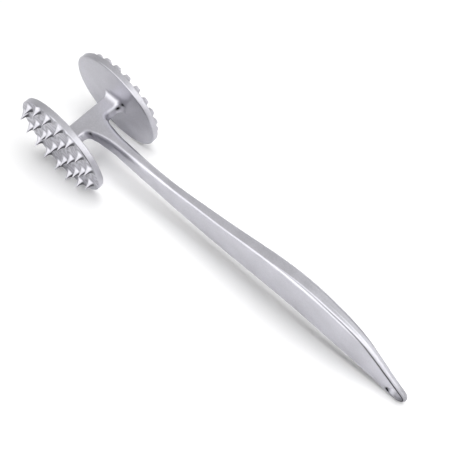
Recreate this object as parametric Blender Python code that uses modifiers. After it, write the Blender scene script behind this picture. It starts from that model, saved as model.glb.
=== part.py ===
"""Double-disc meat mallet in satin cast aluminium, lying on its two disc rims and the tip of its handle.

The head is a short flat bar with a disc on each end: long spikes on the left one, blunt teeth on the
right one. A handle, thin from side to side and deep from top to bottom, leaves the middle of the bar
and droops to a rounded tip with a hang hole.

Frame: metres, +Z up, the table at z = 0. X runs along the head, from the spiked disc to the toothed
disc, and the handle points to -Y. The origin is under the middle of the whole object.
"""

from math import acos, atan, atan2, cos, pi, radians, sin, sqrt

import bmesh
import bpy
import numpy as np
from mathutils import Matrix, Vector

MM = 0.001

# Discs
DISC_RADIUS = 30.0 * MM
DISC_THICKNESS = 3.4 * MM
DISC_SPACING = 36.5 * MM  # between the two back faces
DISC_EDGE_RADIUS = 0.6 * MM

# Head bar, seen along the head's axis, and the flare at each of its ends
BAR_WIDTH = 9.5 * MM
BAR_DEPTH = 6.2 * MM
BAR_EDGE_RADIUS = 1.0 * MM
FLARE_RADIUS = 3.1 * MM

# Coarse spikes, in seven rows across the disc
SPIKE_HEIGHT = 5.1 * MM
SPIKE_HALF_BASE = 3.3 * MM  # from the middle of a foot to its corner
SPIKE_HALF_TIP = 0.25 * MM

# Fine teeth, in rings about one tooth in the middle
TOOTH_HEIGHT = 2.5 * MM
TOOTH_HALF_BASE = 2.8 * MM
TOOTH_HALF_TOP = 1.6 * MM
TOOTH_GAP = 0.8 * MM  # between neighbouring feet
TOOTH_RIM_MARGIN = 1.2 * MM

# Handle
HANDLE_REACH = 219.8 * MM  # from the head's axis to the end of the tip
GRIP_CREST = 14.6 * MM  # the highest place of the grip over the head's axis
GRIP_THICKNESS = 6.0 * MM
HANDLE_CORNER_RADIUS = 1.0 * MM
GRIP_DISH = 0.6 * MM  # how far each side face is hollowed towards the tip
NECK_ROOT_THICKNESS = 12.0 * MM
WEB_RADIUS = 4.0 * MM  # the round inner corners between the bar and the neck
TIP_RADIUS = 6.0 * MM
HANG_HOLE_RADIUS = 4.1 * MM

# Studs that hold the discs
STUD_RADIUS = 1.5 * MM
STUD_LENGTH_IN_BAR = 9.0 * MM
STUD_LENGTH_IN_DISC = 2.1 * MM

CLEARANCE = 0.3 * MM
SINK = 0.4 * MM  # how far the spikes and teeth run into their plate
OVERRUN = 2.0 * MM  # how far a cutter runs past the face it opens

# Angles
SPIKE_ROW_ANGLE = radians(42)
FLARE_TURN = radians(78)
TIP_FLAT_TURN = radians(7)

# The spikes of each row, from the top row down: (share of the disc's radius up, share across)
SPIKE_ROW_SHARES = (
    ((0.783, -0.370), (0.840, 0.090), (0.743, 0.473)),
    ((0.520, -0.670), (0.513, -0.187), (0.540, 0.633)),
    ((0.220, -0.833), (0.287, -0.240), (0.277, 0.100), (0.300, 0.813)),
    ((-0.050, -0.860), (0.010, -0.237), (0.015, 0.310), (0.015, 0.860)),
    ((-0.340, -0.797), (-0.293, -0.273), (-0.293, 0.180), (-0.280, 0.770)),
    ((-0.590, -0.663), (-0.577, -0.133), (-0.577, 0.287), (-0.573, 0.680)),
    ((-0.787, -0.387), (-0.847, 0.130)),
)
# Top edge from the side: (share of the reach, share of the crest)
TOP_EDGE_SHARES = (
    (0.000, 0.150),
    (0.022, 0.205),
    (0.068, 0.262),
    (0.140, 0.225),
    (0.236, 0.170),
    (0.300, 0.190),
    (0.378, 0.330),
    (0.473, 0.515),
    (0.565, 0.765),
    (0.640, 0.940),
    (0.695, 1.000),
    (0.750, 0.955),
    (0.800, 0.790),
    (0.846, 0.560),
    (0.885, 0.230),
    (0.918, -0.210),
    (0.944, -0.620),
)
# Bottom edge from the side: (share of the reach, share of the disc's radius)
BOTTOM_EDGE_SHARES = (
    (0.000, -0.080),
    (0.022, -0.098),
    (0.055, -0.140),
    (0.095, -0.215),
    (0.141, -0.295),
    (0.190, -0.375),
    (0.240, -0.430),
    (0.300, -0.483),
    (0.378, -0.525),
    (0.473, -0.523),
    (0.565, -0.485),
    (0.650, -0.470),
    (0.750, -0.540),
    (0.846, -0.672),
    (0.895, -0.785),
    (0.935, -0.900),
)
# Plan: (share of the reach, share of the grip's thickness)
THICKNESS_SHARES = (
    (0.064, 1.480),
    (0.078, 1.280),
    (0.095, 1.140),
    (0.141, 0.950),
    (0.190, 0.870),
    (0.282, 0.810),
    (0.378, 0.785),
    (0.473, 0.820),
    (0.565, 0.920),
    (0.660, 1.000),
    (0.750, 0.965),
    (0.846, 0.900),
    (0.940, 0.790),
    (1.000, 0.680),
)
# Hollow of the side faces: (share of the reach, share of the dish)
DISH_SHARES = (
    (0.000, 0.0),
    (0.520, 0.0),
    (0.750, 0.55),
    (0.880, 1.0),
    (0.950, 0.5),
    (0.975, 0.0),
    (1.000, 0.0),
)

# Places that follow from the sizes
SEAT = DISC_SPACING / 2 - CLEARANCE  # where the bar ends, just short of a disc
FACE = DISC_SPACING / 2 + DISC_THICKNESS
HEAD_CENTRE = Vector(((SPIKE_HEIGHT - TOOTH_HEIGHT) / 2, (HANDLE_REACH - DISC_RADIUS) / 2, DISC_RADIUS))
TIP_ALONG = HANDLE_REACH - TIP_RADIUS * cos(TIP_FLAT_TURN)
TIP_UP = TIP_RADIUS - DISC_RADIUS

# Facets
DISC_SIDES = 96
ROD_SIDES = 32
HOLE_SIDES = 40

CAST_ALUMINIUM = ((0.60, 0.60, 0.62, 1.0), 0.36, 1.0)
STUD_STEEL = ((0.42, 0.41, 0.40, 1.0), 0.30, 1.0)


def start_clean():
    """Empty the scene and make the collections for the parts and for the shapes that cut them."""
    for thing in list(bpy.data.objects):
        bpy.data.objects.remove(thing, do_unlink=True)
    made = []
    for name in ("meat_mallet", "cutters"):
        collection = bpy.data.collections.new(name)
        bpy.context.scene.collection.children.link(collection)
        made.append(collection)
    made[1].hide_render = True
    return made


def metal(name, look):
    """A Principled material from its colour, roughness and metallic value."""
    colour, roughness, metallic = look
    material = bpy.data.materials.new(name)
    material.use_nodes = True
    shader = material.node_tree.nodes["Principled BSDF"]
    shader.inputs["Base Color"].default_value = colour
    shader.inputs["Roughness"].default_value = roughness
    shader.inputs["Metallic"].default_value = metallic
    return material


def shape(maker, name, collection, material=None):
    """An object from a function that fills an empty bmesh round the head's centre."""
    work = bmesh.new()
    maker(work)
    bmesh.ops.recalc_face_normals(work, faces=work.faces)
    bmesh.ops.translate(work, verts=work.verts, vec=HEAD_CENTRE)
    data = bpy.data.meshes.new(name)
    work.to_mesh(data)
    work.free()
    data.shade_smooth()
    data.set_sharp_from_angle(angle=radians(30))
    thing = bpy.data.objects.new(name, data)
    collection.objects.link(thing)
    if material:
        data.materials.append(material)
    else:
        thing.hide_render = True
        thing.display_type = "WIRE"
    return thing


def boolean(target, other, operation):
    """Join another shape to the target or cut it away."""
    modifier = target.modifiers.new(f"{operation.lower()}_{other.name}", "BOOLEAN")
    modifier.operation = operation
    modifier.object = other
    modifier.solver = "EXACT"
    modifier.use_self = operation == "UNION"


def smooth_curve(points, steps=6):
    """Points on a cubic through the given ones, with each tangent taken from its two neighbours."""
    knots = np.array(points, float)
    tangents = np.gradient(knots[:, 1], knots[:, 0])
    fine = np.linspace(0, len(knots) - 1, steps * (len(knots) - 1) + 1)
    left = np.minimum(fine.astype(int), len(knots) - 2)
    t = fine - left
    span = knots[left + 1, 0] - knots[left, 0]
    along = knots[left, 0] + t * span
    height = (
        (1 + 2 * t) * (1 - t) ** 2 * knots[left, 1]
        + t * (1 - t) ** 2 * span * tangents[left]
        + t**2 * (3 - 2 * t) * knots[left + 1, 1]
        + t**2 * (t - 1) * span * tangents[left + 1]
    )
    return np.column_stack([along, height])


def tip_arc(point, side):
    """The tip's circle from where a line out of the given point touches it to the flat at its end."""
    across, up = point[0] - TIP_ALONG, point[1] - TIP_UP
    start = atan2(up, across) - side * acos(min(1.0, TIP_RADIUS / sqrt(across**2 + up**2)))
    turns = np.linspace(start, side * TIP_FLAT_TURN, 14)
    return np.column_stack([TIP_ALONG + TIP_RADIUS * np.cos(turns), TIP_UP + TIP_RADIUS * np.sin(turns)])


def handle_edges():
    """The top and bottom edges from the side, as (distance from the head's axis, height) points."""
    edges = []
    for shares, scale, side in ((TOP_EDGE_SHARES, GRIP_CREST, 1), (BOTTOM_EDGE_SHARES, DISC_RADIUS, -1)):
        points = [(a * HANDLE_REACH, b * scale) for a, b in shares]
        arc = tip_arc(points[-1], side)
        edges.append(np.vstack([smooth_curve([*points, arc[0]]), arc[1:]]))
    return edges


def rounded_section(half_width, low, high, radius, dish=0.0, corner_steps=4, side_steps=4):
    """A rounded rectangle in (across, up), its two sides hollowed by dish, as one ring of points."""
    radius = min(radius, 0.45 * (high - low), 0.9 * half_width)
    corners = np.linspace(0, pi / 2, corner_steps + 1)
    shares = np.arange(1, side_steps) / side_steps
    run = high - low - 2 * radius
    inset = half_width - radius
    ring = []
    for side in (1, -1):
        first = low + radius if side > 0 else high - radius
        last = first + side * run
        begin = -pi / 2 if side > 0 else pi / 2
        for turn in begin + corners:
            ring.append((side * inset + radius * cos(turn), first + radius * sin(turn)))
        for share in shares:
            ring.append((side * (half_width - dish * sin(pi * share)), first + side * share * run))
        for turn in begin + pi / 2 + corners:
            ring.append((side * inset + radius * cos(turn), last + radius * sin(turn)))
    return ring


def loft(work, rings):
    """Join rings of equal length in order, and close the first and the last."""
    rows = [[work.verts.new(point) for point in ring] for ring in rings]
    for near, far in zip(rows, rows[1:]):
        for k in range(len(near)):
            work.faces.new((near[k - 1], near[k], far[k], far[k - 1]))
    work.faces.new(reversed(rows[0]))
    work.faces.new(rows[-1])


def half_thickness(distance):
    """Half the handle's thickness, with the round web that runs out of the bar."""
    web_end = BAR_WIDTH / 2 + WEB_RADIUS
    root = NECK_ROOT_THICKNESS / 2
    if distance < web_end:
        run = min(WEB_RADIUS, web_end - distance)
        return root + WEB_RADIUS - sqrt(WEB_RADIUS**2 - run**2)
    neck = [(a * HANDLE_REACH, b * GRIP_THICKNESS / 2) for a, b in THICKNESS_SHARES]
    curve = smooth_curve([(web_end, root), *[point for point in neck if point[0] > web_end + WEB_RADIUS]])
    return np.interp(distance, curve[:, 0], curve[:, 1])


def build_handle(work):
    """The handle and its web, as rounded sections square to Y from inside the bar to the tip."""
    top, bottom = handle_edges()
    dish = np.array(DISH_SHARES)
    web = BAR_WIDTH / 2 + WEB_RADIUS * np.sin(np.linspace(0, pi / 2, 7))
    shaft = np.linspace(web[-1], TIP_ALONG - TIP_RADIUS, 48)[1:]
    end = TIP_ALONG + TIP_RADIUS * np.sin(np.linspace(-pi / 2, pi / 2 - TIP_FLAT_TURN, 18))[1:]
    rings = []
    for distance in (0.0, *web, *shaft, *end):
        high = np.interp(distance, top[:, 0], top[:, 1])
        low = np.interp(distance, bottom[:, 0], bottom[:, 1])
        hollow = GRIP_DISH * np.interp(distance / HANDLE_REACH, dish[:, 0], dish[:, 1])
        ring = rounded_section(half_thickness(distance), low, high, HANDLE_CORNER_RADIUS, hollow)
        rings.append([(across, -distance, up) for across, up in ring])
    loft(work, rings)


def build_bar(work):
    """The head bar with rounded edges, flared out towards its seat at each end."""
    turns = np.linspace(0, FLARE_TURN, 7)
    grow = FLARE_RADIUS * (1 - np.cos(turns))
    places = SEAT - FLARE_RADIUS * (sin(FLARE_TURN) - np.sin(turns))
    rings = []
    for x, g in [*zip(-places[::-1], grow[::-1]), *zip(places, grow)]:
        half_depth = BAR_DEPTH / 2 + g
        ring = rounded_section(BAR_WIDTH / 2 + g, -half_depth, half_depth, BAR_EDGE_RADIUS + g)
        rings.append([(x, across, up) for across, up in ring])
    loft(work, rings)


def build_rod(work, radius, start, finish, sides=ROD_SIDES, y=0.0, z=0.0):
    """A closed cylinder along X between two places."""
    bmesh.ops.create_cone(
        work,
        cap_ends=True,
        segments=sides,
        radius1=radius,
        radius2=radius,
        depth=abs(finish - start),
        matrix=Matrix.Translation(((start + finish) / 2, y, z)) @ Matrix.Rotation(pi / 2, 4, "Y"),
    )


def build_stud_hole(work, side):
    """The room for one stud, across the seat and blind at both ends."""
    inner = SEAT - STUD_LENGTH_IN_BAR - CLEARANCE
    outer = DISC_SPACING / 2 + STUD_LENGTH_IN_DISC + CLEARANCE
    build_rod(work, STUD_RADIUS + CLEARANCE, side * inner, side * outer)


def build_pyramid(work, side, place, turn, half_base, half_top, height):
    """A four-sided pyramid with a flat top that stands outwards on a disc, sized to its corners."""
    spread = half_base + (half_base - half_top) / height * SINK
    middle = side * (FACE + (height - SINK) / 2)
    outwards = Matrix.Rotation(side * pi / 2, 4, "Y")
    bmesh.ops.create_cone(
        work,
        cap_ends=True,
        segments=4,
        radius1=spread,
        radius2=half_top,
        depth=height + SINK,
        matrix=Matrix.Translation((middle, *place)) @ Matrix.Rotation(turn, 4, "X") @ outwards,
    )


def spike_places():
    """Where the spikes stand, as (y, z), in rows that are turned from level by the row angle."""
    for row in SPIKE_ROW_SHARES:
        for up_share, across_share in row:
            up = up_share * DISC_RADIUS
            across = across_share * DISC_RADIUS
            y = up * cos(SPIKE_ROW_ANGLE) - across * sin(SPIKE_ROW_ANGLE)
            z = up * sin(SPIKE_ROW_ANGLE) + across * cos(SPIKE_ROW_ANGLE)
            yield y, z


def tooth_places():
    """Where the fine teeth stand, as (y, z, turn): evenly spaced rings and one tooth in the middle."""
    outer = DISC_RADIUS - TOOTH_RIM_MARGIN - TOOTH_HALF_BASE
    rings = max(1, int(outer / (2 * TOOTH_HALF_BASE + TOOTH_GAP)))
    for ring in range(1, rings + 1):
        radius = outer * ring / rings
        reach = TOOTH_HALF_BASE + TOOTH_GAP / 2
        count = int(pi / atan(reach / (radius - TOOTH_HALF_BASE)))
        for turn in np.arange(count) * 2 * pi / count:
            yield radius * cos(turn), radius * sin(turn), turn
    yield 0.0, 0.0, 0.0


def build_spikes(work):
    """All the spikes of the coarse disc, each with its corners along and across the rows."""
    for place in spike_places():
        build_pyramid(work, -1, place, SPIKE_ROW_ANGLE, SPIKE_HALF_BASE, SPIKE_HALF_TIP, SPIKE_HEIGHT)


def build_teeth(work):
    """All the teeth of the fine disc, each with its sides square to its radius."""
    foot = sqrt(2) * TOOTH_HALF_BASE
    top = sqrt(2) * TOOTH_HALF_TOP
    for y, z, turn in tooth_places():
        build_pyramid(work, 1, (y, z), turn + pi / 4, foot, top, TOOTH_HEIGHT)


def make_disc(name, side, build_field, collection, cutters, material):
    """A plate with its spikes or teeth and the blind hole for its stud, as one solid."""
    back = side * DISC_SPACING / 2
    front = side * FACE
    disc = shape(
        lambda work: build_rod(work, DISC_RADIUS, back, front, DISC_SIDES),
        name,
        collection,
        material,
    )
    edge = disc.modifiers.new("rim_edge", "BEVEL")
    edge.width = DISC_EDGE_RADIUS
    edge.segments = 2
    edge.limit_method = "ANGLE"
    edge.angle_limit = radians(60)
    boolean(disc, shape(build_field, f"{name}_field", cutters), "UNION")
    return disc


def main():
    collection, cutters = start_clean()
    cast = metal("cast_aluminium", CAST_ALUMINIUM)
    steel = metal("stud_steel", STUD_STEEL)
    handle = shape(build_handle, "handle_casting", collection, cast)
    boolean(handle, shape(build_bar, "head_bar", cutters), "UNION")
    reach = GRIP_THICKNESS / 2 + OVERRUN
    hang = shape(
        lambda work: build_rod(work, HANG_HOLE_RADIUS, -reach, reach, HOLE_SIDES, -TIP_ALONG, TIP_UP),
        "hang_hole",
        cutters,
    )
    boolean(handle, hang, "DIFFERENCE")
    for side, name, build_field in ((-1, "coarse_disc", build_spikes), (1, "fine_disc", build_teeth)):
        disc = make_disc(name, side, build_field, collection, cutters, cast)
        hole = shape(lambda work, way=side: build_stud_hole(work, way), f"{name}_stud_hole", cutters)
        boolean(handle, hole, "DIFFERENCE")
        boolean(disc, hole, "DIFFERENCE")
        start = side * (SEAT - STUD_LENGTH_IN_BAR)
        finish = side * (DISC_SPACING / 2 + STUD_LENGTH_IN_DISC)
        shape(
            lambda work, a=start, b=finish: build_rod(work, STUD_RADIUS, a, b),
            f"{name}_stud",
            collection,
            steel,
        )


main()
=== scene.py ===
"""Looks of the double-disc meat mallet: satin cast aluminium on a white floor.

Sizes are millimetres from the centre of the head: x along the head towards the toothed disc, y away
from the handle, z up. The handle runs along -y, and "along" is how far down it a place lies. The floor,
the lamps and the camera's sensor say their own units.

A point of a skin is (x, y, z, painted shade). Painted shade is how black the metal is painted there,
standing in for shade: 0 where there is none and 1 where a corner or a shaded side is painted fully black.
"""

from math import atan, cos, pi, radians, sin

import bmesh
import bpy
import numpy as np
from mathutils import Matrix, Vector


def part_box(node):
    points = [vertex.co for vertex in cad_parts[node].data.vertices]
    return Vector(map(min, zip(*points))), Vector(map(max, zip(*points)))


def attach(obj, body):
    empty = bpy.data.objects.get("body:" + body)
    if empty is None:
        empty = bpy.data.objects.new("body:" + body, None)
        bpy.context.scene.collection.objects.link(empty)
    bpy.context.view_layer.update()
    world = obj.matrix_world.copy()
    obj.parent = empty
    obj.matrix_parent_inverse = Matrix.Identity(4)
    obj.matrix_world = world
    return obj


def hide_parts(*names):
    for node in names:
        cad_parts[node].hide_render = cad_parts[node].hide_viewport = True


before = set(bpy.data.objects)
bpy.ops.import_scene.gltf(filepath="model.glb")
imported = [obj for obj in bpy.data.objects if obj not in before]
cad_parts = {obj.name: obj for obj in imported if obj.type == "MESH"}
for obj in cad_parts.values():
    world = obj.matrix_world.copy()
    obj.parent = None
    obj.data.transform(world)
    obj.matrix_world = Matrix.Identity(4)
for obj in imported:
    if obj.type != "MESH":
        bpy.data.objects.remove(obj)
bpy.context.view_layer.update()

MM = 0.001
HAIR = 0.01  # a difference too small to matter
MERGE = 0.004  # points nearer than this are made one
SLIVER = 0.002  # and faces thinner than this are dropped

# The head's place and the main sizes, from the frame
COARSE_LOW, COARSE_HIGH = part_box("coarse_disc")
FINE_LOW, FINE_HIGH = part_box("fine_disc")
HEAD = np.array([COARSE_HIGH[0] + FINE_LOW[0], *(FINE_LOW[k] + FINE_HIGH[k] for k in (1, 2))]) / 2
DISC_RADIUS = (FINE_HIGH[2] - FINE_LOW[2]) / 2 / MM
BACK = (FINE_LOW[0] - COARSE_HIGH[0]) / 2 / MM
REACH = HEAD[1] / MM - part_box("handle_casting")[0][1] / MM

# Discs. Angles round the head's axis are degrees from the side away from the handle, over the top.
DISC_THICKNESS = 3.4
FACE = BACK + DISC_THICKNESS
BACK_FLAT_RADIUS = 28.0
BACK_RINGS = 29
RIM_ROUND = 0.5
RIM_SHADE = 0.26  # painted shade on the rims' upper part, standing in for a dimmer reflection there
RIM_SHADE_MIDDLE = 80
RIM_SHADE_SPREAD = 45
LINE_MIDDLE = 150  # where a line of painted shade runs along each rim
SUNK = 0.6  # how far spikes and teeth start under their face
STUD_MARGIN = 0.25  # and how far inside the rim they stay
STUD_ANGLES = np.linspace(0, 2 * pi, 40, endpoint=False)[None, :]
DISC_SHARP = 38  # degrees past which an edge is shaded sharp

# The spiked disc's edge, with a groove between the face and the rim: margins are measured from the rim
COARSE_STEPS = 480
COARSE_RIM_ROUND = 0.2
EDGE_GROOVE_DEPTH = 0.3
EDGE_GROOVE_MARGINS = (0.6, 0.85)
# The line of painted shade in that groove
COARSE_LINE_DEPTH = 0.2
COARSE_LINE_MARGIN = 0.8
COARSE_LINE_SPREAD = 30
COARSE_LINE_SIZE = 0.6
FACE_MARGIN = 1.0
FACE_RINGS = 110

# Spikes
SPIKE_HEIGHT = (HEAD[0] - COARSE_LOW[0]) / MM - FACE
SPIKE_HALF_SIDE = 1.75  # of the straight sides where they reach the face
SPIKE_FOOT_SPREAD = 1.65  # how much further the foot spreads there
SPIKE_HALF_TIP = 0.14
SPIKE_TURN = radians(19)
SPIKE_FOOT_SHIFT = (0.5, 1.0)  # how far a foot's middle lies from under its tip, in y and z
SPIKE_SHADE = 0.82  # painted shade on the side towards the handle
SPIKE_DARK_FROM = 0.64  # where that side starts, as the cosine of the angle from its middle
SPIKE_DARK_BLUR = 0.1
SPIKE_OTHER_SHADE = 0.2  # painted shade that dims the other sides
SPIKE_FOOT_SQUARENESS = 3.0
SPIKE_TIP_SQUARENESS = 2.6
SPIKE_LEVELS = 26

# The spiked disc's face between the spikes
FOOT_SQUARENESS = 2.5  # a swelling is round at 2 and squarer above it
FOOT_REACH = 8.0  # how far from a foot's middle the face swells
FOOT_SWELL = 1.6
SWELL_MARGIN = 0.6  # the swellings sink to nothing this far inside the rim
SWELL_BLEND = 1.5
RIPPLE_PITCH = 3.0
RIPPLE_HEIGHT = 0.04
# Painted shade over the face and along its ripples
RIPPLE_SHADE = 0.24
FACE_SHADE = 0.05

# Teeth, in rings as in the solid
TOOTH_HEIGHT = (FINE_HIGH[0] - HEAD[0]) / MM - FACE
TOOTH_LEVELS = np.array([0, 0.06, 0.14, 0.25, 0.4, 0.6, 0.8, 0.9])  # shares of the height
TOOTH_TOP_EDGE = 0.97  # the share where the top starts to round over
TOOTH_TOP_STEPS = (0.1, 0.35)  # how much of its half side a tooth has lost there and at its very top
TOOTH_HALF_BASE = 2.8
TOOTH_GAP = 0.8
TOOTH_RIM_MARGIN = 1.2
TOOTH_HALF_TOP = 1.75
TOOTH_HOLLOW = 0.8  # how much wider a tooth grows towards its foot
TOOTH_FOOT_SPREAD = 0.25
TOOTH_SQUARENESS = 5
# Painted shade towards the teeth's feet
TOOTH_SHADE = 0.5
FINE_STEPS = 144
FINE_FLAT_RADIUS = 24.0
FINE_RINGS = 5
# The line of painted shade along the back edge of the toothed disc's rim
FINE_LINE_SPREAD = 22
FINE_LINE_SIZE = 0.5
FINE_LINE_SHADE = 0.8

# Head bar
BAR_HALF_WIDTH = 4.75
BAR_BACK_EDGE = 0.6  # how far the top's edges are rounded
BAR_FRONT_EDGE = 1.7
WEB_EDGE = 1.2  # how much more the front edge is rounded where a web begins
WEB_EDGE_REACH = 2.5
BOTTOM_ROUND = 0.7
FLARE = 3.1  # how much the bar grows on each side where it meets a disc
FLARE_RUN = 5.0
FLARE_START = BACK - FLARE_RUN
FLARE_TURN = np.linspace(0, pi / 2, 9)[1:]  # steps along the flare, as angles
SEAT_SINK = 0.2  # how far the bar's skin runs into a disc's back
BAR_STEPS = 13
WEB_RADIUS = 4.0
NECK_ROOT = 6.0  # half the neck's thickness where the webs end
WEB_X = NECK_ROOT + WEB_RADIUS
WEB_Y = BAR_HALF_WIDTH + WEB_RADIUS
NECK_END = 16.0  # where the plan of the head ends and the handle's sections begin
NECK_STEPS = 17
FRONT_FROM = 3.0  # the bar's middle line carries its front edge from here out, and the web from here in
WEB_TO = 4.5  # the neck's middle line carries the web down to here

# Inner corners darkened with painted shade: x on both sides, y, z, size, how black
POCKETS = (
    (15.4, -5.8, 0.5, 1.3, 1.6),
    (18.2, -7.0, 2.8, 1.4, 1.2),
    (6.3, -7.6, 2.0, 1.2, 1.1),
    (7.2, -8.5, 0.5, 1.3, 0.9),
)

# Handle
CREST = 14.6
LINE_STEPS = 400
NORMAL_STEP = 0.4  # how far behind and ahead a line's run is taken
TIP_RADIUS = 6.0
TIP_FLAT_TURN = radians(7)  # the tip's round ends in a flat this far either side of its end
TIP_ALONG = REACH - TIP_RADIUS * cos(TIP_FLAT_TURN)
TIP_UP = TIP_RADIUS - DISC_RADIUS
TIP_STEPS = 24
TIP_PAINTED_SHADE = 0.3  # painted shade that dims the edge of the tip
TIP_PAINTED_SHADE_START = 9.0  # before the end of the tip
TIP_PAINTED_SHADE_RUN = 7.0
HANDLE_STEPS = 90
EYE_STEPS = 34
EYE_TOP = 209.0  # the last whole section runs from here on the top edge
EYE_BOTTOM = 201.0  # to here on the bottom edge
LEAN_FROM = 120.0  # past here the sections lean with the handle
CASTING_SHARP = 50  # degrees past which an edge is shaded sharp

# Hang hole, and the painted shade round its edge: a ring that is fuller below, and a blot towards the
# grip
HOLE_RADIUS = 4.1
HOLE_EDGE = 0.35
HOLE_RING_SHARES = np.array([[0.0, 0.3, 0.6, 0.85, 1.0]])  # of the way from the eye's edge to the hole
HOLE_WALL_SHARE = 0.7  # of the half thickness, where the wall has a row of points
HOLE_SHADE_SHARE = 0.9  # of the half thickness, less the edge: the wall has no painted shade further in
HOLE_LOW_SHADE = 0.5
HOLE_LOW_SLOPE = 1.6  # how soon the ring's painted shade turns from full to none, going up
HOLE_LINE_OUT = 0.2
HOLE_LINE_SIZE = 0.3
HOLE_BLOT_TURN = 2.9  # radians either way from the end of the tip
HOLE_BLOT_SPREAD = 0.35
HOLE_BLOT_SIZE = 0.6

# The spikes of each row, from the top row down: (share of the disc's radius up, share across)
SPIKE_ROW_ANGLE = radians(42)
SPIKE_ROW_SHARES = (
    ((0.783, -0.370), (0.840, 0.090), (0.743, 0.473)),
    ((0.520, -0.670), (0.513, -0.187), (0.540, 0.633)),
    ((0.220, -0.833), (0.287, -0.240), (0.277, 0.100), (0.300, 0.813)),
    ((-0.050, -0.860), (0.010, -0.237), (0.015, 0.310), (0.015, 0.860)),
    ((-0.340, -0.797), (-0.293, -0.273), (-0.293, 0.180), (-0.280, 0.770)),
    ((-0.590, -0.663), (-0.577, -0.133), (-0.577, 0.287), (-0.573, 0.680)),
    ((-0.787, -0.387), (-0.847, 0.130)),
)
# Top edge from the side: (share of the reach, share of the crest)
TOP_EDGE_SHARES = (
    (0.000, 0.212),
    (0.022, 0.225),
    (0.068, 0.262),
    (0.140, 0.225),
    (0.236, 0.170),
    (0.300, 0.190),
    (0.378, 0.330),
    (0.473, 0.515),
    (0.565, 0.765),
    (0.640, 0.940),
    (0.695, 1.000),
    (0.750, 0.955),
    (0.800, 0.790),
    (0.846, 0.570),
    (0.885, 0.260),
    (0.918, -0.170),
    (0.944, -0.590),
)
# Bottom edge from the side: (share of the reach, share of the disc's radius)
BOTTOM_EDGE_SHARES = (
    (0.000, -0.103),
    (0.022, -0.108),
    (0.055, -0.140),
    (0.095, -0.215),
    (0.141, -0.295),
    (0.190, -0.375),
    (0.240, -0.430),
    (0.300, -0.483),
    (0.378, -0.525),
    (0.473, -0.523),
    (0.565, -0.485),
    (0.650, -0.470),
    (0.750, -0.540),
    (0.846, -0.672),
    (0.895, -0.785),
    (0.935, -0.900),
)
# Along the handle: millimetres along, half width of the top bead, how far the bead's corner reaches
# across and down, depth of the groove under it, half thickness of the side, how far down the side's
# own corner reaches, half thickness of the bottom rim, and how black the groove's painted shade is
SECTION_COLUMNS = ("bead", "across", "down", "groove", "half", "side_down", "rim", "black")
HANDLE_SECTIONS = (
    (8.75, 3.6, 0.0, 0.0, 0.0, 6.0, 2.4, 6.0, 0.0),
    (11.0, 3.0, 0.0, 0.0, 0.0, 5.35, 2.5, 5.35, 0.0),
    (14.0, 2.35, 0.0, 0.0, 0.0, 4.9, 2.6, 4.9, 0.0),
    (20.0, 1.5, 0.0, 0.0, 0.0, 3.9, 2.6, 3.9, 0.0),
    (31.0, 1.05, 0.0, 0.0, 0.0, 3.45, 3.2, 3.45, 0.0),
    (42.0, 0.9, 0.0, 0.0, 0.0, 3.1, 3.7, 3.1, 0.0),
    (62.0, 1.0, 0.0, 0.0, 0.0, 3.0, 4.2, 3.0, 0.0),
    (83.0, 1.5, 0.0, 0.0, 0.0, 3.0, 4.2, 3.0, 0.0),
    (104.0, 1.9, 0.0, 0.0, 0.0, 3.25, 3.9, 3.25, 0.0),
    (124.0, 2.0, 0.0, 0.0, 0.0, 3.55, 3.4, 3.55, 0.0),
    (140.0, 2.2, 0.1, 0.05, 0.0, 3.75, 2.6, 3.7, 0.0),
    (155.0, 2.25, 1.1, 0.35, 0.1, 3.7, 1.7, 3.65, 0.2),
    (170.0, 2.4, 1.9, 0.65, 0.2, 3.5, 1.6, 3.5, 0.4),
    (185.0, 2.15, 1.9, 0.7, 0.3, 3.1, 1.3, 3.1, 0.65),
    (195.0, 1.95, 1.7, 0.8, 0.35, 2.55, 0.9, 2.65, 0.8),
    (203.0, 1.8, 1.6, 0.95, 0.35, 2.05, 0.6, 2.15, 0.95),
    (211.0, 1.6, 1.5, 1.0, 0.35, 1.8, 0.5, 1.9, 1.2),
    (220.0, 1.5, 1.4, 1.0, 0.35, 1.6, 0.3, 1.75, 1.3),
)


def smooth(points, at):
    """Height at each place of a cubic through the points.

    Its slope at a point is the mean of the slopes on its two sides, the nearer one weighing more.
    """
    along, height = np.array(points, float).T
    slope = np.gradient(height, along)
    k = np.clip(np.searchsorted(along, at) - 1, 0, len(along) - 2)
    span = along[k + 1] - along[k]
    t = np.clip((at - along[k]) / span, 0, 1)
    return (
        (1 + 2 * t) * (1 - t) ** 2 * height[k]
        + t * (1 - t) ** 2 * span * slope[k]
        + t**2 * (3 - 2 * t) * height[k + 1]
        + t**2 * (t - 1) * span * slope[k + 1]
    )


def ease(t):
    """0 to 1 with level ends: 3 t squared less 2 t cubed."""
    t = np.clip(t, 0, 1)
    return t * t * (3 - 2 * t)


def section_sizes(along):
    """The columns of the section table by name, each with a row for every place along the handle."""
    table = np.array(HANDLE_SECTIONS)
    columns = enumerate(SECTION_COLUMNS, start=1)
    return {name: smooth(table[:, (0, k)], along)[:, None] for k, name in columns}


def tip_arc(point, side):
    """The tip's circle, from where a line out of the given point touches it round to its end."""
    across, up = point[0] - TIP_ALONG, point[1] - TIP_UP
    start = np.arctan2(up, across) - side * np.arccos(min(1.0, TIP_RADIUS / np.hypot(across, up)))
    turns = np.linspace(start, 0, TIP_STEPS)
    return np.column_stack([TIP_ALONG + TIP_RADIUS * np.cos(turns), TIP_UP + TIP_RADIUS * np.sin(turns)])


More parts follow.
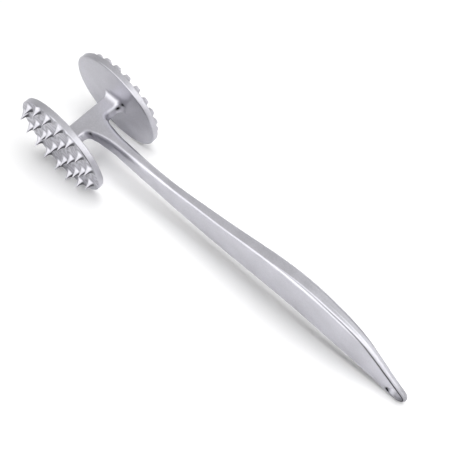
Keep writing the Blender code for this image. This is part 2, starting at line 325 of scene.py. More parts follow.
def edge_line(shares, height, side):
    """One whole edge of the handle, from the head to the end of the tip, as close (along, up) points."""
    points = [(a * REACH, b * height) for a, b in shares]
    arc = tip_arc(points[-1], side)
    points.append(tuple(arc[0]))
    along = np.linspace(points[0][0], points[-1][0], LINE_STEPS)
    line = np.vstack([np.column_stack([along, smooth(points, along)]), arc[1:]])
    line[:, 0] = np.minimum(line[:, 0], REACH)
    return line


TOP_LINE = edge_line(TOP_EDGE_SHARES, CREST, 1)
BOTTOM_LINE = edge_line(BOTTOM_EDGE_SHARES, DISC_RADIUS, -1)


def mesh_piece(name, points, faces, material, sharp):
    """An object from (x, y, z, residue) points and faces, sharp at edges past an angle in degrees.

    Doubles are merged and normals turned outwards, and the painted shade is kept as a point attribute.
    """
    data = bpy.data.meshes.new(name)
    data.from_pydata((HEAD + points[:, :3] * MM).tolist(), [], faces.tolist())
    painted_shade = data.attributes.new("painted_shade", "FLOAT", "POINT")
    painted_shade.data.foreach_set("value", points[:, 3].astype(np.float32))
    work = bmesh.new()
    work.from_mesh(data)
    bmesh.ops.remove_doubles(work, verts=work.verts, dist=MERGE * MM)
    bmesh.ops.dissolve_degenerate(work, edges=work.edges, dist=SLIVER * MM)
    bmesh.ops.recalc_face_normals(work, faces=work.faces)
    work.to_mesh(data)
    work.free()
    data.shade_smooth()
    data.set_sharp_from_angle(angle=radians(sharp))
    data.materials.append(material)
    piece = bpy.data.objects.new(name, data)
    bpy.context.scene.collection.objects.link(piece)
    return piece


def grid_faces(rows, columns, start, wrap):
    """Quads between neighbouring points of a grid that is stored row by row."""
    row = columns * np.arange(rows - 1)[:, None]
    column = np.arange(columns if wrap else columns - 1)[None, :]
    after = (column + 1) % columns
    corners = (row + column, row + after, row + columns + after, row + columns + column)
    return start + np.stack(corners, axis=-1).reshape(-1, 4)


class Skin:
    """Grids of points gathered into one mesh."""

    def __init__(self):
        self.points = []
        self.faces = []
        self.count = 0

    def add(self, grid, wrap=False):
        """Add a grid, closed round its rows if wrap is true."""
        rows, columns = grid.shape[:2]
        self.faces.append(grid_faces(rows, columns, self.count, wrap))
        self.points.append(grid.reshape(-1, 4))
        self.count += rows * columns

    def piece(self, name, material, sharp):
        """The object made of all the grids."""
        return mesh_piece(name, np.vstack(self.points), np.vstack(self.faces), material, sharp)


# Casting: one half-section after another, each from the middle of the top round the side to the middle
# of the bottom, and the whole mirrored in x
CROWN = 0.08
GROOVE_DROP = 0.3  # how much lower the side starts under the bead, as a share of the groove's depth
GROOVE_SPREAD = 0.42  # how far the groove's painted shade reaches
RIM_UP = 1.0  # how far the bottom rim reaches up the side
# Steps along the parts of a profile, as shares of the way and as angles
FLAT = np.linspace(0, 1, 5)[None, :-1]
CORNER = np.linspace(0, pi / 2, 6)[None, :]
SHOULDER = np.linspace(0, pi / 2, 9)[None, :]
RISE = np.linspace(0, 1, 9)[None, :]
RIM_TO_SIDE = ease(1.5 * (RISE - 0.2))
SIDE = np.linspace(0, 1, 12)[None, 1:-1, None]


def side_by_side(parts, column):
    """Parts of a profile next to one another, each spread over the column's rows."""
    return np.hstack([part + 0 * column for part in parts])


def top_profile(bead, across, down, groove, half, side_down):
    """Distance in from the top edge and out from the middle, from the middle of the top to the side.

    A slightly crowned flat, a quarter ellipse at the bead's corner, the groove, and a quarter ellipse
    from the groove's bottom out to the side.
    """
    floor = bead - groove
    start = down + GROOVE_DROP * groove
    inward = (
        CROWN * FLAT**2,
        CROWN + down * (1 - np.cos(CORNER)),
        CROWN + start + side_down * (1 - np.cos(SHOULDER)),
    )
    outward = (
        (bead - across) * FLAT,
        bead - across + across * np.sin(CORNER),
        floor + (half - floor) * np.sin(SHOULDER),
    )
    return side_by_side(inward, bead), side_by_side(outward, bead)


def bottom_profile(half, rim, radius):
    """The same from the middle of the bottom: a flat, a quarter circle, the rim, and in to the side."""
    inward = (0 * FLAT, radius * (1 - np.cos(CORNER)), radius + RIM_UP * RISE)
    outward = (
        (rim - radius) * FLAT,
        rim - radius + radius * np.sin(CORNER),
        rim + (half - rim) * RIM_TO_SIDE,
    )
    return side_by_side(inward, rim), side_by_side(outward, rim)


def with_side(over, under):
    """Half-sections from their upper and lower parts, with even steps down the side between, which has no
    painted shade.
    """
    side = over[:, -1:] * (1 - SIDE) + under[:, :1] * SIDE
    side[..., 3] = 0
    return np.concatenate([over, side, under], axis=1)


def lengths_of(line):
    """How far down a line each of its points lies."""
    return np.concatenate([[0], np.cumsum(np.hypot(*np.diff(line, axis=0).T))])


def length_at(line, along):
    """How far down a line the place lies."""
    return np.interp(along, line[:, 0], lengths_of(line))


def line_at(line, places):
    """Points of a line at given lengths, and its normals there, on the right of its run."""
    lengths = lengths_of(line)
    behind, point, ahead = (
        np.column_stack([np.interp(places + step, lengths, line[:, k]) for k in (0, 1)])
        for step in (-NORMAL_STEP, 0, NORMAL_STEP)
    )
    run = ahead - behind
    run /= np.hypot(*run.T)[:, None]
    return point, np.column_stack([run[:, 1], -run[:, 0]])


def section_edge(point, inward_normal, lowness):
    """Half of each section, from the middle of the edge round to the side.

    Lowness is 0 for the top's profile, 1 for the bottom's and between them for a mix of the two. The
    groove's painted shade is a bell curve of the distance from the outer edge of the bead's underside.
    """
    bead, across, down, groove, half, side_down, rim, black = section_sizes(point[:, 0]).values()
    over = top_profile(bead, across, down, groove, half, side_down)
    under = bottom_profile(half, rim, np.minimum(BOTTOM_ROUND, rim / 2))
    inward, outward = ((1 - lowness) * high + lowness * low for high, low in zip(over, under))
    away = (over[0] - CROWN - down - GROOVE_DROP * groove) ** 2 + (over[1] - bead) ** 2
    shade = np.minimum(1, (1 - lowness) * black * np.exp(-away / GROOVE_SPREAD**2))
    place = point[:, None, :] + inward[:, :, None] * inward_normal[:, None, :]
    return np.stack([outward, -place[:, :, 0], place[:, :, 1], shade], axis=-1)


def handle_sections():
    """The handle's half-sections from the neck to the eye, leaning more and more with the handle."""
    places = np.linspace(NECK_END, (EYE_TOP + EYE_BOTTOM) / 2, HANDLE_STEPS)
    lean = (EYE_TOP - EYE_BOTTOM) / 2 * ease((places - LEAN_FROM) / (places[-1] - LEAN_FROM))
    top, top_normal = line_at(TOP_LINE, length_at(TOP_LINE, places + lean))
    bottom, bottom_normal = line_at(BOTTOM_LINE, length_at(BOTTOM_LINE, places - lean))
    over = section_edge(top, top_normal, 0.0)
    under = section_edge(bottom, -bottom_normal, 1.0)[:, ::-1]
    return with_side(over, under)


def flare_at(x):
    """How much the bar has grown at x: a quarter ellipse from where the flare starts to the disc."""
    run = np.clip((np.abs(x) - FLARE_START) / FLARE_RUN, 0, 1)
    return FLARE * (1 - np.sqrt(1 - run**2))


def head_height(x, y):
    """The casting's top and bottom over a place of the head's plan: the edges' curves plus the flare."""
    along = np.maximum(-y, 0)
    top = np.interp(along, TOP_LINE[:, 0], TOP_LINE[:, 1])
    bottom = np.interp(along, BOTTOM_LINE[:, 0], BOTTOM_LINE[:, 1])
    return top + flare_at(x), bottom - flare_at(x)


def top_rounding(outline, back_count):
    """How far the head's top edge is rounded at each outline point: one value behind, another in front.

    In front a bell curve is added where a web begins, and down the webs and the neck the value passes
    evenly to that of the handle's first section.
    """
    x, y = outline.T
    down = np.clip((-y - BAR_HALF_WIDTH) / (NECK_END - BAR_HALF_WIDTH), 0, 1)
    neck = section_sizes(np.array([NECK_END]))["side_down"][0, 0]
    radius = BAR_FRONT_EDGE + np.where(np.abs(x) < WEB_X + HAIR, down, 0) * (neck - BAR_FRONT_EDGE)
    radius += WEB_EDGE * np.exp(-(((x - WEB_X) / WEB_EDGE_REACH) ** 2)) * (y > -WEB_Y)
    radius[:back_count] = BAR_BACK_EDGE
    return radius[:, None]


def head_outline():
    """The plan of the right half: outline points, the middle line's points and the top's rounding.

    Back edge from the middle to the seat, the seat, the front edge back to the web, the web's quarter
    circle, and the neck to where the handle's sections begin.
    """
    plain = np.linspace(0, FLARE_START, BAR_STEPS)
    arm = np.concatenate([plain, FLARE_START + FLARE_RUN * np.sin(FLARE_TURN), [BACK + SEAT_SINK]])
    back = np.column_stack([arm, BAR_HALF_WIDTH + flare_at(arm)])
    straight = arm[arm >= FRONT_FROM][::-1]
    shift = np.clip((FLARE_START - straight) / (FLARE_START - straight[-1]), 0, 1)
    front_x = straight + shift * (WEB_X - straight[-1])
    front = np.column_stack([front_x, -BAR_HALF_WIDTH - flare_at(straight)])
    inner = arm[arm < FRONT_FROM][::-1]
    drops = np.linspace(0, NECK_END, NECK_STEPS)[1:]
    web_drops = drops[drops < WEB_TO]
    count = len(inner) + len(web_drops)
    web_turn = pi / 2 + (pi / 2) * np.arange(1, count + 1) / count
    web = np.column_stack([WEB_X + WEB_RADIUS * np.cos(web_turn), -WEB_Y + WEB_RADIUS * np.sin(web_turn)])
    rest = drops[drops >= WEB_TO]
    side = WEB_Y + (NECK_END - WEB_Y) * np.arange(1, len(rest) + 1) / len(rest)
    neck = np.column_stack([section_sizes(side)["half"], -side])
    outline = np.vstack([back, front, web, neck])
    middle_x = np.concatenate([arm, straight, inner, 0 * drops])
    middle_y = np.concatenate([0 * arm, 0 * straight, 0 * inner, -drops])
    return outline, np.column_stack([middle_x, middle_y]), top_rounding(outline, len(back))


def head_sections():
    """The head's half-sections, in the same order of points as the handle's.

    Each runs from the middle line out to its outline point, over the top and back under the bottom.
    """
    outline, middle, radius = head_outline()
    reach = outline - middle
    length = np.hypot(*reach.T)[:, None]
    unit = reach / length
    none = 0 * length
    inward, outward = top_profile(length - radius, none, none, none, length, radius)
    place = middle[:, None, :] + outward[:, :, None] * unit[:, None, :]
    over = np.dstack([place, head_height(place[:, :, 0], place[:, :, 1])[0] - inward, 0 * inward])
    inward, outward = bottom_profile(length, length, np.minimum(BOTTOM_ROUND, length / 2))
    place = middle[:, None, :] + outward[:, :, None] * unit[:, None, :]
    under = np.dstack([place, head_height(place[:, :, 0], place[:, :, 1])[1] + inward, 0 * inward])
    return with_side(over, under[:, ::-1])


def hole_shade(turn, radius):
    """Painted shade round the hole, on its ring and its wall.

    A bell curve of the distance from just outside the hole. Its height is the share for low places plus
    another bell curve of the angle, which is the blot, and the blot makes it wider.
    """
    low = ease(0.5 - HOLE_LOW_SLOPE * np.sin(turn))
    blot = np.exp(-(((np.abs(turn) - HOLE_BLOT_TURN) / HOLE_BLOT_SPREAD) ** 2))
    size = HOLE_LINE_SIZE + HOLE_BLOT_SIZE * blot
    line = np.exp(-(((radius - HOLE_RADIUS - HOLE_LINE_OUT) / size) ** 2))
    return np.minimum(1, (HOLE_LOW_SHADE * low + blot) * line)


def eye_patches(last):
    """The eye's edge, carried round the tip, and its side: the ring from there to the hole, and the wall.

    They join the last of the handle's sections. The profile passes from the top's to the bottom's along
    the lower part of the edge.
    """
    top_run = (length_at(TOP_LINE, EYE_TOP), lengths_of(TOP_LINE)[-1])
    bottom_run = (lengths_of(BOTTOM_LINE)[-1], length_at(BOTTOM_LINE, EYE_BOTTOM))
    upper, upper_normal = line_at(TOP_LINE, np.linspace(*top_run, EYE_STEPS))
    lower, lower_normal = line_at(BOTTOM_LINE, np.linspace(*bottom_run, EYE_STEPS))
    upper_normal[-1] = (-1, 0)
    lower_normal[0] = (1, 0)
    over = section_edge(upper, upper_normal, 0.0)
    under = section_edge(lower, -lower_normal, ease(np.linspace(0, 1, EYE_STEPS))[:, None])
    rim = np.concatenate([over, under[1:]])
    painted_tip_shade = TIP_PAINTED_SHADE * ease((-rim[..., 1] - REACH + TIP_PAINTED_SHADE_START) / TIP_PAINTED_SHADE_RUN)
    rim[..., 3] = np.maximum(rim[..., 3], painted_tip_shade)
    side = last[over.shape[1] - 1 : last.shape[0] - under.shape[1] + 1]
    loop = np.vstack([rim[:, -1], side[::-1][1:]])
    half, along, up = loop[:, :1], -loop[:, 1:2] - TIP_ALONG, loop[:, 2:3] - TIP_UP
    turn, away = np.arctan2(up, along), np.hypot(up, along)
    bend = np.linspace(0, pi / 2, 5)[None, 1:]
    hole_edge = HOLE_RADIUS + HOLE_EDGE * (1 - np.sin(bend))
    ring_radius = away + (HOLE_RADIUS + HOLE_EDGE - away) * HOLE_RING_SHARES
    radius = side_by_side([ring_radius, hole_edge, HOLE_RADIUS, HOLE_RADIUS], away)
    edge_out = half - HOLE_EDGE * (1 - np.cos(bend))
    out = side_by_side([half + 0 * HOLE_RING_SHARES, edge_out, HOLE_WALL_SHARE * half, 0], half)
    shade = hole_shade(turn, radius) * (out > HOLE_SHADE_SHARE * half - HOLE_EDGE)
    y, z = -TIP_ALONG - radius * np.cos(turn), TIP_UP + radius * np.sin(turn)
    return rim, np.stack([out, y, z, shade], axis=-1)


def pocket_shade(points):
    """Painted shade in the head's inner corners: a bell curve of the distance to each named place."""
    shade = np.zeros(points.shape[:-1])
    for x, y, z, size, black in POCKETS:
        away = (np.abs(points[..., 0]) - x) ** 2 + (points[..., 1] - y) ** 2 + (points[..., 2] - z) ** 2
        shade = np.maximum(shade, black * np.exp(-away / size**2))
    return np.minimum(1, shade)


def make_casting(material):
    """Bar, webs, neck, grip and eye as one skin: its right half and the mirrored left half."""
    handle = handle_sections()
    rim, ring = eye_patches(handle[-1])
    head = head_sections()
    head[..., 3] = pocket_shade(head)
    skin = Skin()
    for way in (1, -1):
        mirror = np.array([way, 1, 1, 1])
        for grid in (np.concatenate([head, handle]), rim, ring):
            skin.add(grid * mirror)
    return skin.piece("handle_casting_skin", material, CASTING_SHARP)


def turned(outline, steps):
    """A clean grid from an (x, radius) outline that is carried round the head's axis."""
    turn = np.linspace(0, 2 * pi, steps, endpoint=False)[None, :]
    x, radius = (np.array(column, float)[:, None] for column in zip(*outline))
    across, up = radius * np.cos(turn), radius * np.sin(turn)
    return np.stack([x + 0 * across, across, up, 0 * across], axis=-1)


def bell(grid, middle, spread):
    """Round the head's axis: 1 at the middle angle, falling to 0 a spread away on either side."""
    angle = np.degrees(np.arctan2(grid[..., 2], grid[..., 1]))
    away = np.abs((angle - middle + 180) % 360 - 180)
    return ease(1 - away / spread)


def edge_shade(grid, x, radius, size):
    """A bell curve of the distance from a circle round the head's axis, on either disc."""
    away = (np.abs(grid[..., 0]) - x) ** 2 + (np.hypot(grid[..., 1], grid[..., 2]) - radius) ** 2
    return np.exp(-away / size**2)


def disc_outline(side, front_round):
    """Half of a disc's section: back face, rim with two rounded edges, edge of the front face."""
    turn = CORNER[0]
    back_radius = DISC_RADIUS - RIM_ROUND * (1 - np.sin(turn))
    front_radius = DISC_RADIUS - front_round * (1 - np.sin(turn))
    back = np.column_stack([BACK + RIM_ROUND * (1 - np.cos(turn)), back_radius])
    front = np.column_stack([FACE - front_round * (1 - np.cos(turn)), front_radius])[::-1]
    flat = np.linspace(0, BACK_FLAT_RADIUS, BACK_RINGS)
    outline = np.vstack([np.column_stack([0 * flat + BACK, flat]), back, front])
    return outline * np.array([side, 1])


def square_studs(skin, side, places, turns, levels, half_sides, squareness, shade, foot_shift=(0, 0)):
    """Square studs on a disc: sections between a circle and a square, held inside the rim.

    At each level a section is half its side over the p-th root of |cos|^p + |sin|^p, turned with the
    stud. Its middle moves evenly from the foot's shift at the face to the stud's own place at the top.
    """
    power = np.array(squareness, float)[:, None]
    corner = np.abs(np.cos(STUD_ANGLES)) ** power + np.abs(np.sin(STUD_ANGLES)) ** power
    section = np.array(half_sides)[:, None] / corner ** (1 / power)
    level = np.array(levels)[:, None]
    low = 1 - np.clip(level / levels[-1], 0, 1)
    inside = DISC_RADIUS - STUD_MARGIN
    for (y, z), turn in zip(places, turns):
        across = section * np.cos(STUD_ANGLES + turn) + y + foot_shift[0] * low
        up = section * np.sin(STUD_ANGLES + turn) + z + foot_shift[1] * low
        hold = inside / np.maximum(np.hypot(across, up), inside)
        x = side * (FACE + level) + 0 * across
        skin.add(np.stack([x, across * hold, up * hold, shade], axis=-1), wrap=True)


def spike_places():
    """Where the spikes stand, as (y, z), in rows that are turned from level by the row angle."""
    for row in SPIKE_ROW_SHARES:
        for up_share, across_share in row:
            up, across = up_share * DISC_RADIUS, across_share * DISC_RADIUS
            y = up * cos(SPIKE_ROW_ANGLE) - across * sin(SPIKE_ROW_ANGLE)
            z = up * sin(SPIKE_ROW_ANGLE) + across * cos(SPIKE_ROW_ANGLE)
            yield y, z


def spiked_face(places):
    """The coarse disc's front: its height swells towards each spike and ripples in rings about it.

    Height is the sum over the spikes of swell times the cube of (1 - distance / reach), distance being
    the p-norm that gives rounded squares, and a small sine of the distance to the nearest spike. All of
    it sinks towards the rim, and the painted shade follows the sine.
    """
    rings = np.linspace(DISC_RADIUS - FACE_MARGIN, 0, FACE_RINGS)
    grid = turned([(-FACE, radius) for radius in rings], COARSE_STEPS)
    offset = grid[:, :, None, 1:3] - np.array(places) - np.array(SPIKE_FOOT_SHIFT)
    c, s = cos(SPIKE_TURN), sin(SPIKE_TURN)
    offset = np.abs(offset @ np.array([(c, -s), (s, c)]))
    distance = (offset**FOOT_SQUARENESS).sum(axis=-1) ** (1 / FOOT_SQUARENESS)
    swell = FOOT_SWELL * (np.clip(1 - distance / FOOT_REACH, 0, 1) ** 3).sum(axis=-1)
    ripple = np.sin(2 * pi * distance.min(axis=-1) / RIPPLE_PITCH)
    from_rim = DISC_RADIUS - np.hypot(grid[:, :, 1], grid[:, :, 2])
    hold = ease((from_rim - SWELL_MARGIN) / SWELL_BLEND)
    grid[:, :, 0] -= hold * (swell + RIPPLE_HEIGHT * ripple)
    grid[:, :, 3] = FACE_SHADE + RIPPLE_SHADE * ripple
    return grid


def spike_painted_shade(levels, half_sides):
    """Painted shade on a spike: dark on the side towards the handle, and the face's own painted shade at
    the foot.

    With the height left above a level as a share, the foot's part is its fourth power, and the dark side
    fades by its tenth.
    """
    left = 1 - np.clip(np.array(levels) / SPIKE_HEIGHT, 0, 1)[:, None]
    painted_ripple_shade = RIPPLE_SHADE * np.sin(2 * pi * np.array(half_sides)[:, None] / RIPPLE_PITCH)
    handle_side = ease((-np.cos(STUD_ANGLES) - SPIKE_DARK_FROM) / SPIKE_DARK_BLUR)
    foot = left**4
    plain = SPIKE_OTHER_SHADE * (1 - foot) + (FACE_SHADE + painted_ripple_shade) * foot
    return np.maximum(SPIKE_SHADE * handle_side * (1 - left**10), plain)


def make_coarse_disc(material):
    """The spiked disc: hollow-sided square spikes whose feet run into the face and into one another.

    With the height left above a level as a share, half a spike's side is that of its tip, a slope in
    proportion to the share, and the foot's spread times its fifth power.
    """
    skin = Skin()
    places = list(spike_places())
    rim = turned(disc_outline(-1, COARSE_RIM_ROUND), COARSE_STEPS)
    # Painted shade on the rim's upper part
    rim[:, :, 3] = RIM_SHADE * bell(rim, RIM_SHADE_MIDDLE, RIM_SHADE_SPREAD)
    floor = [(EDGE_GROOVE_DEPTH - FACE, DISC_RADIUS - margin) for margin in EDGE_GROOVE_MARGINS]
    disc = np.concatenate([rim, turned(floor, COARSE_STEPS), spiked_face(places)])
    # A line of painted shade in the groove by the rim
    line_radius = DISC_RADIUS - COARSE_LINE_MARGIN
    line = edge_shade(disc, FACE - COARSE_LINE_DEPTH, line_radius, COARSE_LINE_SIZE)
    line *= bell(disc, LINE_MIDDLE, COARSE_LINE_SPREAD)
    disc[:, :, 3] = np.maximum(disc[:, :, 3], line)
    skin.add(disc, wrap=True)
    share = np.linspace(0, 1, SPIKE_LEVELS) ** 1.5
    half = SPIKE_HALF_SIDE * (1 - share) + SPIKE_FOOT_SPREAD * (1 - share) ** 5 + SPIKE_HALF_TIP
    levels = [-SUNK, -SUNK, *(share * SPIKE_HEIGHT), SPIKE_HEIGHT]
    half_sides = [0, half[0], *half, 0]
    squareness = SPIKE_FOOT_SQUARENESS + (SPIKE_TIP_SQUARENESS - SPIKE_FOOT_SQUARENESS) * share
    turns = [SPIKE_TURN] * len(places)
    shade = spike_painted_shade(levels, half_sides)
    square = [squareness[0], squareness[0], *squareness, squareness[-1]]
    square_studs(skin, -1, places, turns, levels, half_sides, square, shade, SPIKE_FOOT_SHIFT)
    return skin.piece("coarse_disc_skin", material, DISC_SHARP)


def tooth_places():
    """Rings of evenly spaced teeth about one in the middle: ((y, z), turn)."""
    outer = DISC_RADIUS - TOOTH_RIM_MARGIN - TOOTH_HALF_BASE
    rings = int(outer / (2 * TOOTH_HALF_BASE + TOOTH_GAP))
    for ring in range(1, rings + 1):
        radius = outer * ring / rings
        count = int(pi / atan((TOOTH_HALF_BASE + TOOTH_GAP / 2) / (radius - TOOTH_HALF_BASE)))
        for turn in np.arange(count) * 2 * pi / count:
            yield (radius * cos(turn), radius * sin(turn)), turn
    yield (0.0, 0.0), 0.0


def make_fine_disc(material):
    """The toothed disc: blunt square teeth with hollow sides and rounded tops, in rings.

    With the height left above a level as a share, half a tooth's side is that of its top, the hollow
    times the share's power of one and a half, and the foot's spread times its sixth power. The painted
    shade is the tooth's shade times its cube.
    """
    skin = Skin()
    front = [(FACE, radius) for radius in np.linspace(FINE_FLAT_RADIUS, 0, FINE_RINGS)]
    disc = turned([*disc_outline(1, RIM_ROUND), *front], FINE_STEPS)
    on_rim = np.hypot(disc[:, :, 1], disc[:, :, 2]) > DISC_RADIUS - 2 * RIM_ROUND
    # Painted shade on the rim's upper part
    rim_shade = RIM_SHADE * bell(disc, RIM_SHADE_MIDDLE, RIM_SHADE_SPREAD) * on_rim
    line = bell(disc, LINE_MIDDLE, FINE_LINE_SPREAD) * edge_shade(disc, BACK, DISC_RADIUS, FINE_LINE_SIZE)
    disc[:, :, 3] = np.maximum(np.maximum(rim_shade, pocket_shade(disc)), FINE_LINE_SHADE * line)
    skin.add(disc, wrap=True)
    places, turns = zip(*tooth_places())
    left = 1 - TOOTH_LEVELS
    half = TOOTH_HALF_TOP + TOOTH_HOLLOW * left**1.5 + TOOTH_FOOT_SPREAD * left**6
    levels = [-SUNK, -SUNK, *(TOOTH_HEIGHT * np.array([*TOOTH_LEVELS, TOOTH_TOP_EDGE, 1, 1]))]
    half_sides = [0, half[0], *half, *(half[-1] - step for step in TOOTH_TOP_STEPS), 0]
    squareness = [TOOTH_SQUARENESS] * len(levels)
    all_left = np.clip(1 - np.array(levels) / TOOTH_HEIGHT, 0, 1)[:, None]
    shade = TOOTH_SHADE * all_left**3 + 0 * STUD_ANGLES
    square_studs(skin, 1, places, turns, levels, half_sides, squareness, shade)
    return skin.piece("fine_disc_skin", material, DISC_SHARP)


# Metals
CAST_COLOUR = (0.565, 0.56, 0.60)
CAST_ROUGHNESS = 0.37
CAST_GRAIN = 0.12
STEEL_COLOUR = (0.42, 0.41, 0.40)
STEEL_ROUGHNESS = 0.3
STEEL_GRAIN = 0.02
# The colour of the painted shade
PAINTED_SHADE_COLOUR = (0.01, 0.01, 0.012)
DARK_TINT = 0.9
LIGHT_TINT = 1.08
PATCH_SCALE = 90.0
PATCH_DETAIL = 4.0
SPECKLE_SCALE = 1400.0
SPECKLE_DETAIL = 3.0
SPECKLE_SHARE = 0.5  # of the tint, the rest coming from the patches
TINT_FROM, TINT_TO = 0.35, 0.65  # the greys of the noise that turn dark and light
POLISH_FROM, POLISH_TO = 0.3, 0.7  # and those that turn smoother and rougher
SMOOTHER = 0.04
ROUGHER = 0.05
GRAIN_STRENGTH = 0.25


def shade_noise(tree, place, scale, detail):
    """The grey of a noise that is fixed to the piece."""
    noise = tree.nodes.new("ShaderNodeTexNoise")
    noise.inputs["Scale"].default_value = scale
    noise.inputs["Detail"].default_value = detail
    tree.links.new(place.outputs["Object"], noise.inputs["Vector"])
    return noise.outputs["Fac"]


def metal_material(name, colour, roughness, grain_depth):
    """Metal whose colour varies in soft patches and speckle, with the fine grain of a casting.

    The patches also vary the roughness, and the speckle raises the grain to its depth. Painted shade
    turns the colour black and takes the metal's mirror away.
    """
    material = bpy.data.materials.new(name)
    material.use_nodes = True
    tree = material.node_tree
    link = tree.links.new
    shader = tree.nodes["Principled BSDF"]
    shader.inputs["Specular IOR Level"].default_value = 0.0
    place = tree.nodes.new("ShaderNodeTexCoord")
    patches = shade_noise(tree, place, PATCH_SCALE, PATCH_DETAIL)
    speckle = shade_noise(tree, place, SPECKLE_SCALE, SPECKLE_DETAIL)
    both = tree.nodes.new("ShaderNodeMix")
    both.inputs["Factor"].default_value = SPECKLE_SHARE
    link(patches, both.inputs["A"])
    link(speckle, both.inputs["B"])
    tint = tree.nodes.new("ShaderNodeValToRGB")
    tint.color_ramp.elements[0].position = TINT_FROM
    tint.color_ramp.elements[1].position = TINT_TO
    tint.color_ramp.elements[0].color = (*(DARK_TINT * c for c in colour), 1)
    tint.color_ramp.elements[1].color = (*(LIGHT_TINT * c for c in colour), 1)
    link(both.outputs["Result"], tint.inputs["Fac"])
    painted_shade = tree.nodes.new("ShaderNodeAttribute")
    painted_shade.attribute_name = "painted_shade"
    black = tree.nodes.new("ShaderNodeMixRGB")
    black.inputs["Color2"].default_value = (*PAINTED_SHADE_COLOUR, 1)
    link(painted_shade.outputs["Fac"], black.inputs["Fac"])
    link(tint.outputs["Color"], black.inputs["Color1"])
    link(black.outputs["Color"], shader.inputs["Base Color"])
    # The metal's mirror falls as the painted shade rises
    clean = tree.nodes.new("ShaderNodeMath")
    clean.operation = "SUBTRACT"
    clean.inputs[0].default_value = 1.0
    link(painted_shade.outputs["Fac"], clean.inputs[1])
    link(clean.outputs[0], shader.inputs["Metallic"])
    satin = tree.nodes.new("ShaderNodeMapRange")
    satin.inputs["From Min"].default_value = POLISH_FROM
    satin.inputs["From Max"].default_value = POLISH_TO
    satin.inputs["To Min"].default_value = roughness - SMOOTHER
    satin.inputs["To Max"].default_value = roughness + ROUGHER
    link(patches, satin.inputs["Value"])
    link(satin.outputs["Result"], shader.inputs["Roughness"])
    relief = tree.nodes.new("ShaderNodeBump")
    relief.inputs["Strength"].default_value = GRAIN_STRENGTH
    relief.inputs["Distance"].default_value = grain_depth * MM
    link(speckle, relief.inputs["Height"])
    link(relief.outputs["Normal"], shader.inputs["Normal"])
    return material


# Floor and world
FLOOR_REACH = 3.0  # metres from the middle to each side
FLOOR_PAINT = (0.8, 0.8, 0.803)
FLOOR_PAINT_IN_METAL = (0.86, 0.86, 0.87)
FLOOR_GLOW = 0.22  # what the camera sees besides the light that the floor gets
FLOOR_GLOW_IN_METAL = 0.02
WORLD_SEEN = 0.75
WORLD_LIGHT = 0.05
# Lamps: direction from the head, metres away, metres wide and high, radiance, whether for the floor
LAMPS = {
    "key_above": ((0.138, -0.37, 0.92), 2.7, (1.5, 2.8), 7.6, True),
    "left_softbox": ((-0.79, 0.0, 0.61), 6.0, (13.0, 9.2), 1.47, False),
    "front_softbox": ((0.08, -0.933, 0.35), 6.0, (6.9, 7.6), 1.08, False),
    "right_softbox": ((0.85, -0.2, 0.5), 6.0, (9.0, 7.0), 0.25, False),
}


def make_floor():
    """A white floor that keeps the shadow and shows as white where none falls."""
    material = bpy.data.materials.new("white_floor")
    material.use_nodes = True
    tree = material.node_tree
    tree.nodes.clear()
    link = tree.links.new
    path = tree.nodes.new("ShaderNodeLightPath")
    matt = tree.nodes.new("ShaderNodeBsdfDiffuse")
    paint = tree.nodes.new("ShaderNodeMixRGB")
    paint.inputs["Color1"].default_value = (*FLOOR_PAINT, 1)
    paint.inputs["Color2"].default_value = (*FLOOR_PAINT_IN_METAL, 1)
    link(path.outputs["Is Glossy Ray"], paint.inputs["Fac"])
    link(paint.outputs["Color"], matt.inputs["Color"])
    glow = tree.nodes.new("ShaderNodeEmission")
    direct = tree.nodes.new("ShaderNodeMath")
    direct.operation = "MULTIPLY"
    direct.inputs[1].default_value = FLOOR_GLOW
    link(path.outputs["Is Camera Ray"], direct.inputs[0])
    level = tree.nodes.new("ShaderNodeMath")
    level.operation = "MULTIPLY_ADD"
    level.inputs[1].default_value = FLOOR_GLOW_IN_METAL
    link(path.outputs["Is Glossy Ray"], level.inputs[0])
    link(direct.outputs[0], level.inputs[2])
    link(level.outputs[0], glow.inputs["Strength"])
    join = tree.nodes.new("ShaderNodeAddShader")
    out = tree.nodes.new("ShaderNodeOutputMaterial")
    link(matt.outputs[0], join.inputs[0])
    link(glow.outputs[0], join.inputs[1])
    link(join.outputs[0], out.inputs["Surface"])
    corners = [(x * FLOOR_REACH, y * FLOOR_REACH, 0) for x, y in ((-1, -1), (1, -1), (1, 1), (-1, 1))]
    data = bpy.data.meshes.new("floor")
    data.from_pydata(corners, [], [(0, 1, 2, 3)])
    data.materials.append(material)
    floor = bpy.data.objects.new("floor", data)
    bpy.context.scene.collection.objects.link(floor)


def make_world():
    """An even studio: one level for what metal and the camera see, a lower one for what it lights."""
    world = bpy.data.worlds.new("studio")
    bpy.context.scene.world = world
    world.use_nodes = True
    tree = world.node_tree
    link = tree.links.new
    path = tree.nodes.new("ShaderNodeLightPath")
    level = tree.nodes.new("ShaderNodeMapRange")
    level.inputs["To Min"].default_value = WORLD_SEEN
    level.inputs["To Max"].default_value = WORLD_LIGHT
    link(path.outputs["Is Diffuse Ray"], level.inputs["Value"])
    link(level.outputs["Result"], tree.nodes["Background"].inputs["Strength"])
    tree.nodes["Background"].inputs["Color"].default_value = (1, 1, 1, 1)


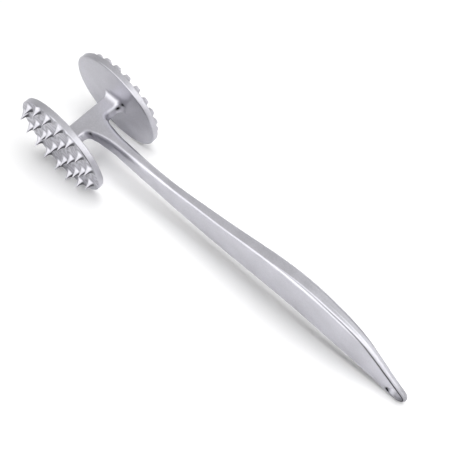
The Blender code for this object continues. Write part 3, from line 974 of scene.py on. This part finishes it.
def make_lamp(name, direction, distance, size, radiance, for_floor):
    """A flat lamp: its power is pi times its area times its radiance.

    A lamp for the floor faces straight down and isn't seen in the metal. A softbox faces the head and is
    only seen there.
    """
    width, height = size
    data = bpy.data.lights.new(name, "AREA")
    data.shape = "RECTANGLE"
    data.size = width
    data.size_y = height
    data.energy = pi * width * height * radiance
    lamp = bpy.data.objects.new(name, data)
    way = Vector(direction).normalized()
    lamp.location = Vector(HEAD) + way * distance
    if not for_floor:
        lamp.rotation_euler = way.to_track_quat("Z", "Y").to_euler()
    lamp.visible_camera = False
    lamp.visible_diffuse = for_floor
    lamp.visible_glossy = not for_floor
    bpy.context.scene.collection.objects.link(lamp)


# Camera: its way from the head, and the pixel of the head's centre
CAMERA_TURN = radians(-36.2)
CAMERA_LIFT = radians(59.2)
CAMERA_ROLL = radians(-10.6)
CAMERA_AWAY = 517.24
IMAGE_SIDE = 450
HEAD_PIXEL = (90.6, 121.7)
FOCAL_PIXELS = 954.0
SENSOR = 36.0  # millimetres, as Blender counts a sensor


def make_camera():
    """The photograph's view: turn, lift and roll about the head, and the head's centre at its pixel."""
    flat = cos(CAMERA_LIFT)
    back = Vector((sin(CAMERA_TURN) * flat, -cos(CAMERA_TURN) * flat, sin(CAMERA_LIFT)))
    level = Vector((0, 0, 1)).cross(back).normalized()
    over = back.cross(level)
    right = level * cos(CAMERA_ROLL) + over * sin(CAMERA_ROLL)
    up = over * cos(CAMERA_ROLL) - level * sin(CAMERA_ROLL)
    middle = IMAGE_SIDE / 2
    away = CAMERA_AWAY * MM
    place = Vector(HEAD) + back * away
    place -= right * (HEAD_PIXEL[0] - middle) * away / FOCAL_PIXELS
    place += up * (HEAD_PIXEL[1] - middle) * away / FOCAL_PIXELS
    data = bpy.data.cameras.new("camera")
    data.sensor_width = SENSOR
    data.lens = FOCAL_PIXELS * SENSOR / IMAGE_SIDE
    camera = bpy.data.objects.new("camera", data)
    camera.matrix_world = Matrix.Translation(place) @ Matrix((right, up, back)).transposed().to_4x4()
    bpy.context.scene.collection.objects.link(camera)
    bpy.context.scene.camera = camera


def main():
    """The three skins on the mallet's body, the studs' steel, the floor, the lights and the camera."""
    bpy.context.scene.view_settings.view_transform = "Standard"
    cast = metal_material("satin_cast_aluminium", CAST_COLOUR, CAST_ROUGHNESS, CAST_GRAIN)
    steel = metal_material("stud_steel", STEEL_COLOUR, STEEL_ROUGHNESS, STEEL_GRAIN)
    for piece, replaced in (
        (make_casting(cast), "handle_casting"),
        (make_coarse_disc(cast), "coarse_disc"),
        (make_fine_disc(cast), "fine_disc"),
    ):
        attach(piece, "root")
        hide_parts(replaced)
    for name in ("coarse_disc_stud", "fine_disc_stud"):
        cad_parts[name].data.materials.clear()
        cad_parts[name].data.materials.append(steel)
    make_floor()
    make_world()
    for name, lamp in LAMPS.items():
        make_lamp(name, *lamp)
    make_camera()


main()
